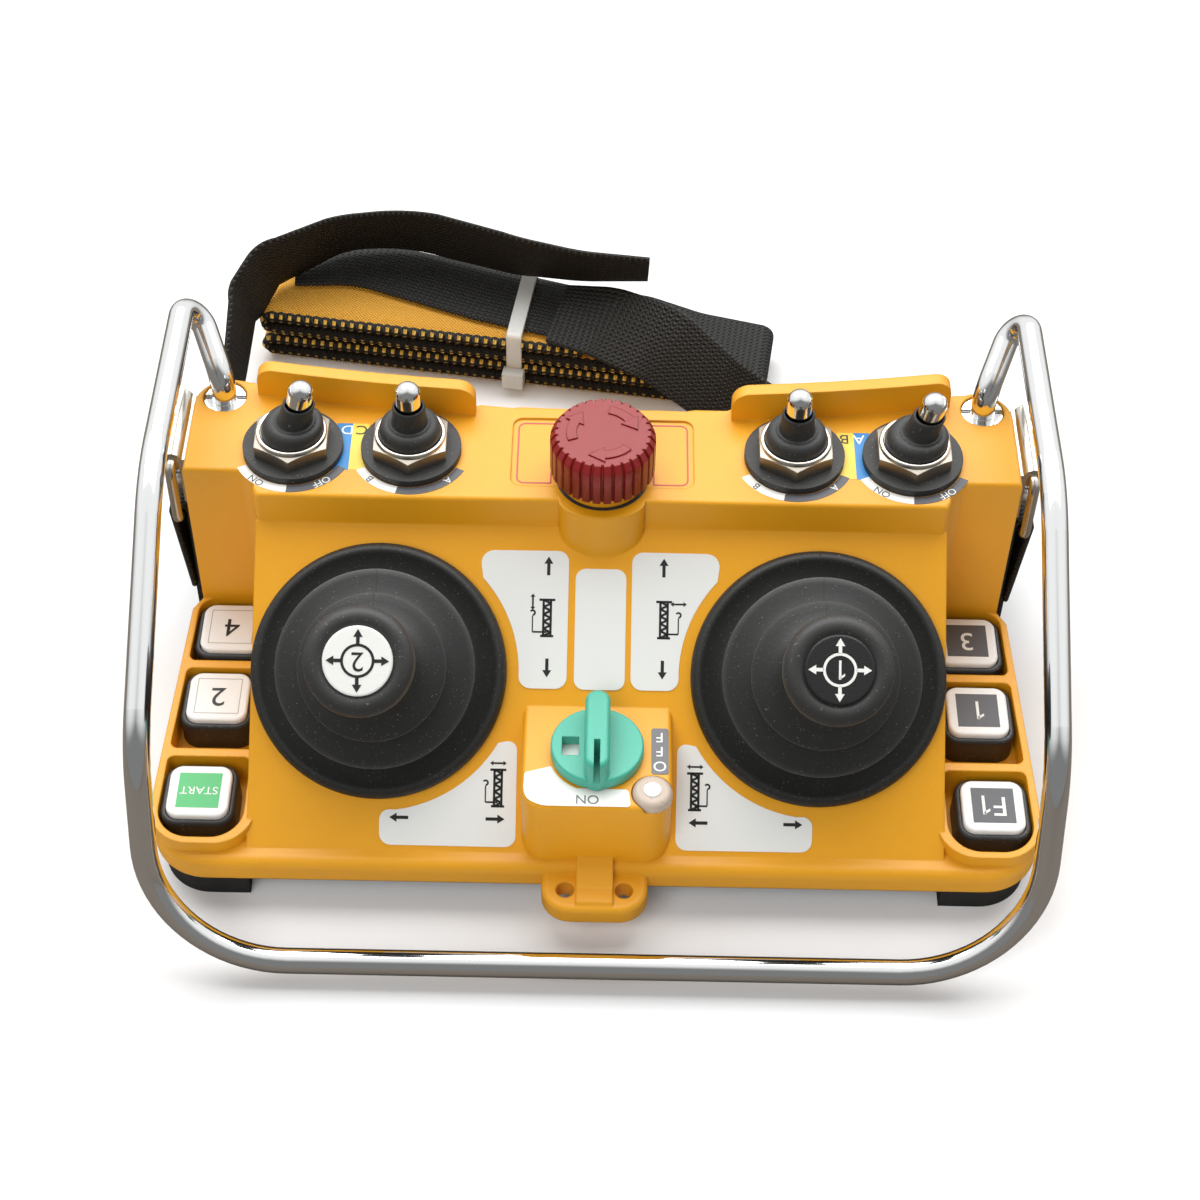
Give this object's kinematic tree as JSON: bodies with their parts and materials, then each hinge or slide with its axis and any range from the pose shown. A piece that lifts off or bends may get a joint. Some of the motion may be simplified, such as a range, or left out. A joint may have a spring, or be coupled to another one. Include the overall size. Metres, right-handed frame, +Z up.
{
  "type": "joystick radio remote control",
  "caption": "Belly-box radio remote control with spring-return joysticks, toggle switches, push buttons, emergency stop, rotary key, chrome guard handle and folded neck strap",
  "frame": {"origin": "on the resting plane under the middle of the housing, on the flat underside of the bottom cover", "axes": "+X to the right seen from the front rail, +Y towards the operator and the strap, +Z up"},
  "size_m": [0.2469, 0.2917, 0.1078],
  "materials": {
    "yellow_shell": "fine moulded grain",
    "black_cover": "fine moulded grain",
    "seal_rubber": "matt",
    "screw_steel": "zinc plated",
    "cell_wrap": "printed film",
    "contact_brass": "bare",
    "board": "solder mask",
    "shield_steel": "tinned",
    "sleeve_rubber": "satin",
    "bright_chrome": "polished",
    "plated_steel": "nickel plated",
    "black_webbing": "ribbed weave",
    "yellow_pad": "knit",
    "tie_plastic": "natural nylon",
    "stop_red": "satin",
    "inner_steel": "turned",
    "black_plastic": "satin",
    "key_green": "satin",
    "lens_clear": "translucent",
    "cap_white": "satin",
    "boot_rubber": "matt with fine specks",
    "knob_black": "soft touch",
    "insert_white": "printed",
    "insert_black": "printed"
  },
  "bodies": {
    "case": {"battery_cells": "cell_wrap", "battery_contacts": "contact_brass", "battery_door": "black_cover", "bottom_cover": "black_cover", "button_boards": "board", "button_sleeves": "sleeve_rubber", "cable_tie": "tie_plastic", "estop_collar": "yellow_shell", "estop_contact_block": "black_plastic", "fasteners": "screw_steel", "handle_bar": "bright_chrome", "handle_ring_nuts": "bright_chrome", "housing_gasket": "seal_rubber", "joystick_left_boot": "boot_rubber", "joystick_left_frame": "black_plastic", "joystick_right_boot": "boot_rubber", "joystick_right_frame": "black_plastic", "key_switch": "black_plastic", "main_board": "board", "radio_module": "shield_steel", "rubber_feet": "seal_rubber", "status_lens": "lens_clear", "strap_brackets": "plated_steel", "strap_loop_left": "black_webbing", "strap_loop_right": "black_webbing", "strap_pad": "yellow_pad", "strap_webbing": "black_webbing", "toggle_bodies": "black_plastic", "toggle_left_inner_boot": "boot_rubber", "toggle_left_outer_boot": "boot_rubber", "toggle_nuts": "plated_steel", "toggle_right_inner_boot": "boot_rubber", "toggle_right_outer_boot": "boot_rubber", "toggle_washers": "boot_rubber", "upper_housing": "yellow_shell"},
    "button_4": {"button_cap_4": "cap_white"},
    "button_2": {"button_cap_2": "cap_white"},
    "button_start": {"button_cap_start": "cap_white"},
    "button_3": {"button_cap_3": "cap_white"},
    "button_1": {"button_cap_1": "cap_white"},
    "button_f": {"button_cap_f": "cap_white"},
    "toggle_left_outer": {"toggle_left_outer_lever": "bright_chrome"},
    "toggle_left_inner": {"toggle_left_inner_lever": "bright_chrome"},
    "toggle_right_inner": {"toggle_right_inner_lever": "bright_chrome"},
    "toggle_right_outer": {"toggle_right_outer_lever": "bright_chrome"},
    "joystick_left_gimbal": {"joystick_left_yoke": "black_plastic"},
    "joystick_left_lever": {"joystick_left_stick": "inner_steel", "joystick_left_knob": "knob_black", "joystick_left_insert": "insert_white"},
    "ring_left": {"d_ring_left": "plated_steel"},
    "joystick_right_gimbal": {"joystick_right_yoke": "black_plastic"},
    "joystick_right_lever": {"joystick_right_stick": "inner_steel", "joystick_right_knob": "knob_black", "joystick_right_insert": "insert_black"},
    "ring_right": {"d_ring_right": "plated_steel"},
    "estop_plunger": {"estop_stem": "inner_steel"},
    "estop_cap": {"estop_head": "stop_red"},
    "key": {"key_knob": "key_green"}
  },
  "joints": [
    {"name": "joystick_left_pitch", "type": "hinge", "parent": "case", "child": "joystick_left_gimbal", "pos_m": [-0.0604, -0.00957, 0.03886], "axis": [1, 0, 0], "range_deg": [-20, 20], "stiffness_Nm_per_rad": 0.6, "deforming": ["joystick_left_boot"]},
    {"name": "joystick_left_roll", "type": "hinge", "parent": "joystick_left_gimbal", "child": "joystick_left_lever", "pos_m": [-0.0604, -0.00957, 0.03886], "axis": [0, 0.7986, 0.6018], "range_deg": [-20, 20], "stiffness_Nm_per_rad": 0.6, "deforming": ["joystick_left_boot"]},
    {"name": "joystick_right_pitch", "type": "hinge", "parent": "case", "child": "joystick_right_gimbal", "pos_m": [0.0604, -0.00957, 0.03886], "axis": [1, 0, 0], "range_deg": [-20, 20], "stiffness_Nm_per_rad": 0.6, "deforming": ["joystick_right_boot"]},
    {"name": "joystick_right_roll", "type": "hinge", "parent": "joystick_right_gimbal", "child": "joystick_right_lever", "pos_m": [0.0604, -0.00957, 0.03886], "axis": [0, 0.7986, 0.6018], "range_deg": [-20, 20], "stiffness_Nm_per_rad": 0.6, "deforming": ["joystick_right_boot"]},
    {"name": "toggle_left_outer_throw", "type": "hinge", "parent": "case", "child": "toggle_left_outer", "pos_m": [-0.086, 0.0347, 0.086], "axis": [0, 1, 0], "range_deg": [-24, 0], "deforming": ["toggle_left_outer_boot"]},
    {"name": "toggle_left_inner_throw", "type": "hinge", "parent": "case", "child": "toggle_left_inner", "pos_m": [-0.0532, 0.0347, 0.086], "axis": [0, 1, 0], "range_deg": [-12, 12], "deforming": ["toggle_left_inner_boot"]},
    {"name": "toggle_right_inner_throw", "type": "hinge", "parent": "case", "child": "toggle_right_inner", "pos_m": [0.0532, 0.0347, 0.086], "axis": [0, 1, 0], "range_deg": [-12, 12], "deforming": ["toggle_right_inner_boot"]},
    {"name": "toggle_right_outer_throw", "type": "hinge", "parent": "case", "child": "toggle_right_outer", "pos_m": [0.086, 0.0347, 0.086], "axis": [0, 1, 0], "range_deg": [-24, 0], "deforming": ["toggle_right_outer_boot"]},
    {"name": "estop_push", "type": "slide", "parent": "case", "child": "estop_plunger", "axis": [0, 0, -1], "range_m": [0, 0.004], "stiffness_N_per_m": 900},
    {"name": "estop_twist", "type": "hinge", "parent": "estop_plunger", "child": "estop_cap", "pos_m": [0, 0.026, 0.09], "axis": [0, 0, -1], "range_deg": [0, 40], "stiffness_Nm_per_rad": 0.02},
    {"name": "key_turn", "type": "hinge", "parent": "case", "child": "key", "pos_m": [0, -0.0385, 0.044], "axis": [0, 0, 1], "range_deg": [0, 90]},
    {"name": "button_4_press", "type": "slide", "parent": "case", "child": "button_4", "axis": [0, 0, -1], "range_m": [0, 0.0018], "stiffness_N_per_m": 500},
    {"name": "button_2_press", "type": "slide", "parent": "case", "child": "button_2", "axis": [0, 0, -1], "range_m": [0, 0.0018], "stiffness_N_per_m": 500},
    {"name": "button_start_press", "type": "slide", "parent": "case", "child": "button_start", "axis": [0, 0, -1], "range_m": [0, 0.0018], "stiffness_N_per_m": 500},
    {"name": "button_3_press", "type": "slide", "parent": "case", "child": "button_3", "axis": [0, 0, -1], "range_m": [0, 0.0018], "stiffness_N_per_m": 500},
    {"name": "button_1_press", "type": "slide", "parent": "case", "child": "button_1", "axis": [0, 0, -1], "range_m": [0, 0.0018], "stiffness_N_per_m": 500},
    {"name": "button_f_press", "type": "slide", "parent": "case", "child": "button_f", "axis": [0, 0, -1], "range_m": [0, 0.0018], "stiffness_N_per_m": 500},
    {"name": "ring_left_swing", "type": "hinge", "parent": "case", "child": "ring_left", "pos_m": [-0.12, 0.0445, 0.079], "axis": [0, 1, 0], "range_deg": [0, 95], "deforming": ["strap_loop_left"]},
    {"name": "ring_right_swing", "type": "hinge", "parent": "case", "child": "ring_right", "pos_m": [0.12, 0.0445, 0.079], "axis": [0, -1, 0], "range_deg": [0, 95], "deforming": ["strap_loop_right"]}
  ]
}
